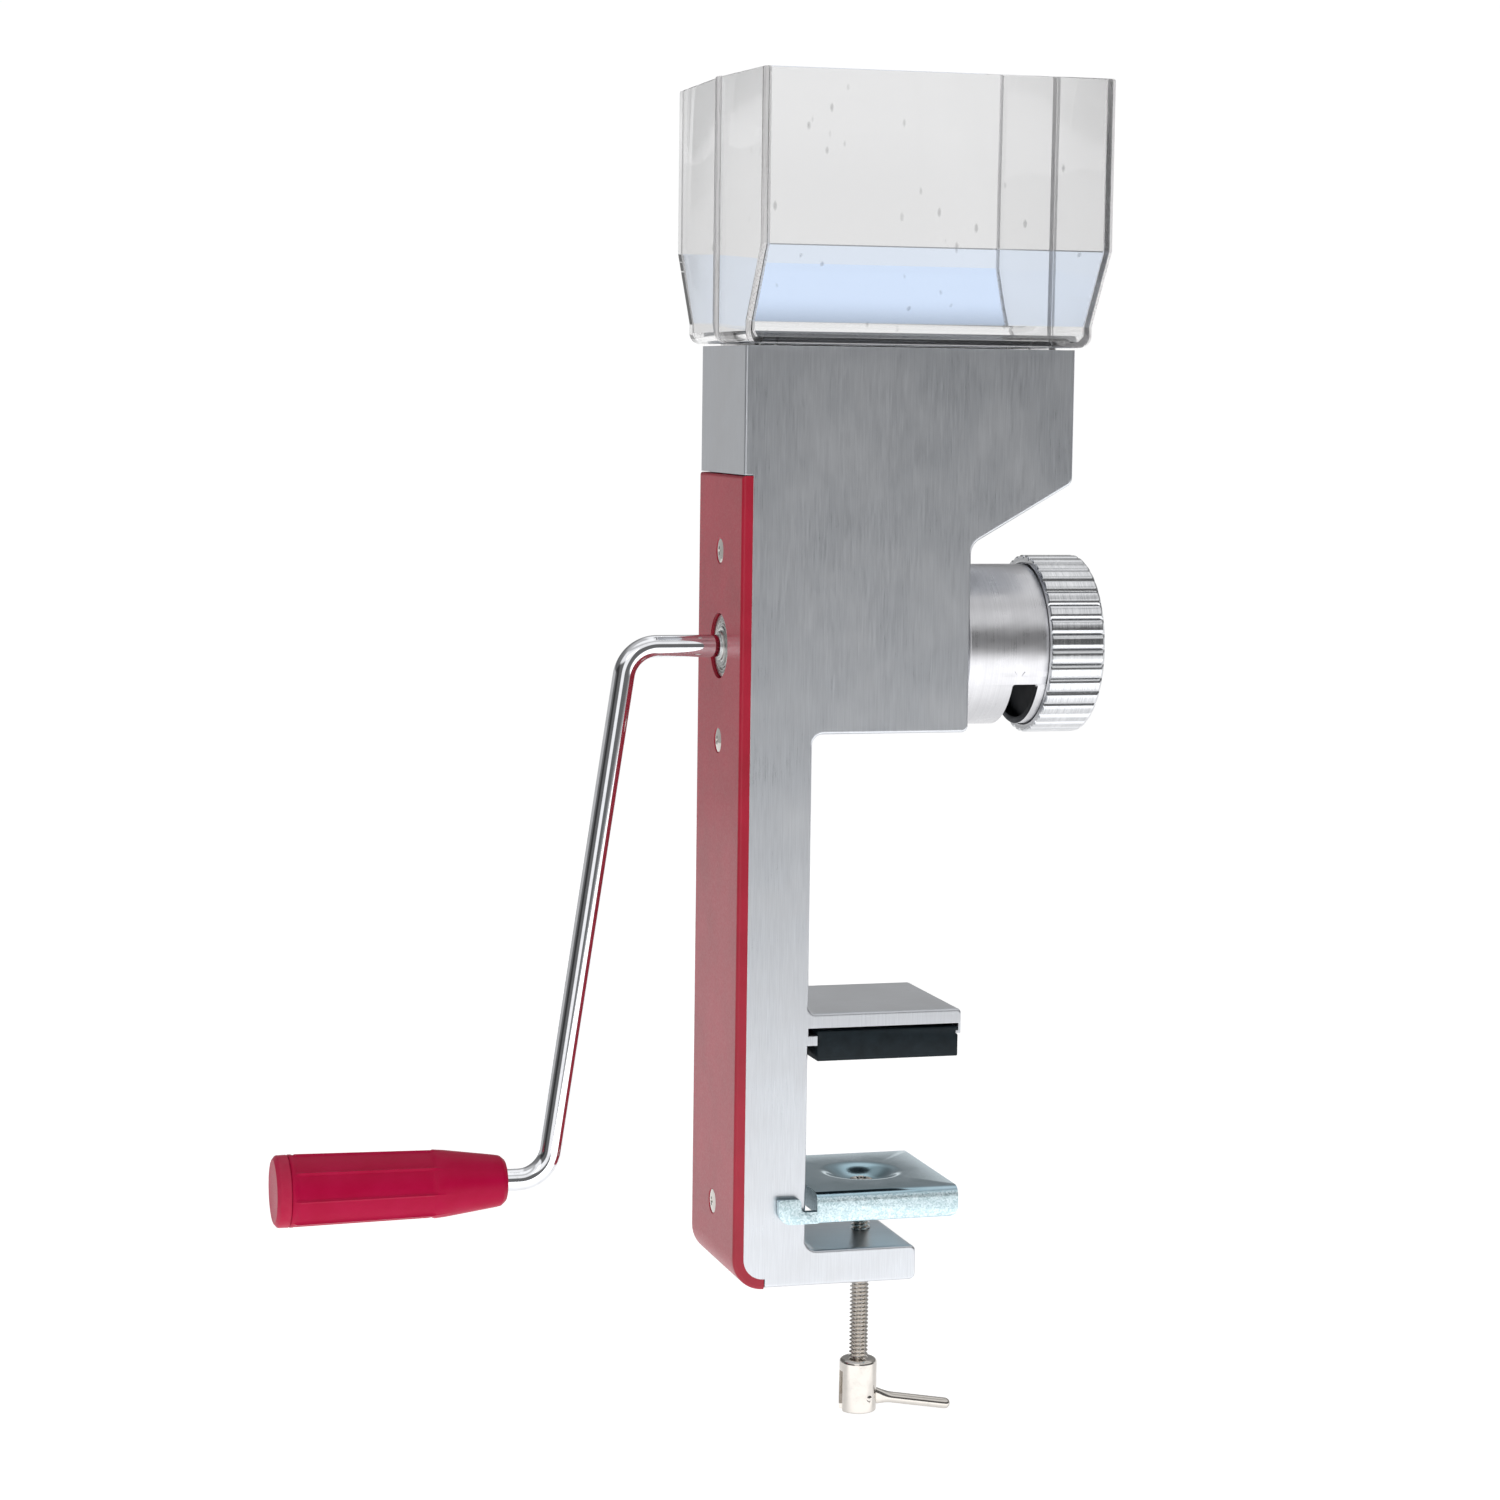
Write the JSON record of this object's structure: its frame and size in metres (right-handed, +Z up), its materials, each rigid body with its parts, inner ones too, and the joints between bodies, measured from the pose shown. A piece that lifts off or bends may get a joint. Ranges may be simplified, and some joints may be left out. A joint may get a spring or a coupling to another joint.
{
  "type": "hand crank grain mill",
  "caption": "Table-clamped hand crank grain mill with a clear hopper, a red front cover, a ribbed burr adjusting knob and a screw clamp.",
  "frame": {"origin": "centre of the rubber jaw pad's underside, the face that sits on the table top", "axes": "+Z up, +X from the crank side towards the adjusting knob and onto the table, +Y across the casting"},
  "size_m": [0.2589, 0.1004, 0.4258],
  "materials": {
    "cast_aluminium": "brushed vertically, bright rounded edges",
    "turned_aluminium": "satin turned",
    "knob_metal": "ribbed, polished rib crests",
    "red_enamel": "satin baked enamel, deep red",
    "nickel_plate": "bright nickel plate",
    "chrome_rod": "bright chrome",
    "machined_steel": "machined, ring lines",
    "burr_steel": "ground stainless",
    "spring_steel": "drawn wire",
    "crimson_plastic": "satin moulded plastic",
    "clear_plastic": "clear moulded plastic",
    "black_rubber": "matte moulded rubber",
    "zinc_steel": "blue passivated zinc plate on steel sheet"
  },
  "bodies": {
    "frame": {"body_casting": "cast_aluminium", "front_cover": "red_enamel", "cover_screws": "nickel_plate", "front_bushing": "machined_steel", "spring_washer": "spring_steel", "burr_ring": "burr_steel", "burr_barrel": "turned_aluminium", "jaw_pad": "black_rubber"},
    "hopper": {"hopper_near_half": "clear_plastic", "hopper_far_half": "clear_plastic"},
    "thrust": {"thrust_ball": "machined_steel"},
    "crank": {"drive_shaft": "machined_steel", "crank_rod": "chrome_rod", "crank_pin": "machined_steel", "feed_auger": "turned_aluminium", "shaft_spring": "spring_steel", "milling_cone": "burr_steel", "cone_pin": "machined_steel", "spindle_nut": "spring_steel"},
    "grip": {"handle_grip": "crimson_plastic", "grip_end_cap": "crimson_plastic"},
    "knob": {"adjusting_knob": "knob_metal"},
    "plate": {"pressure_plate": "zinc_steel"},
    "screw": {"clamp_screw": "nickel_plate", "screw_hub": "nickel_plate", "lever_pin": "nickel_plate"},
    "lever": {"clamp_lever": "nickel_plate"}
  },
  "joints": [
    {"name": "hopper_lift", "type": "slide", "parent": "frame", "child": "hopper", "axis": [0, 0, 1], "range_m": [0, 0.07]},
    {"name": "burr_feed", "type": "slide", "parent": "frame", "child": "thrust", "axis": [1, 0, 0], "range_m": [-0.00037, 0.00112]},
    {"name": "knob_turn", "type": "hinge", "parent": "thrust", "child": "knob", "pos_m": [0.062, 0, 0.1285], "axis": [1, 0, 0], "range_deg": [-90, 270]},
    {"name": "crank_spin", "type": "hinge", "parent": "thrust", "child": "crank", "pos_m": [0, 0, 0.1285], "axis": [1, 0, 0], "continuous": true},
    {"name": "grip_spin", "type": "hinge", "parent": "crank", "child": "grip", "pos_m": [-0.15, 0, -0.0388], "axis": [1, 0, 0], "continuous": true},
    {"name": "plate_slide", "type": "slide", "parent": "frame", "child": "plate", "axis": [0, 0, 1], "range_m": [-0.0115, 0.0306]},
    {"name": "screw_turn", "type": "hinge", "parent": "plate", "child": "screw", "pos_m": [0, 0, -0.08], "axis": [0, 0, 1], "range_deg": [-3260, 8675]},
    {"name": "lever_fold", "type": "hinge", "parent": "screw", "child": "lever", "pos_m": [0.0022, 0, -0.1154], "axis": [0, 1, 0], "range_deg": [-20, 160]}
  ],
  "couplings": [
    {"joint": "knob_turn", "follows": "burr_feed", "rad_per_m": 4188.8},
    {"joint": "screw_turn", "follows": "plate_slide", "rad_per_m": 4947.4}
  ]
}
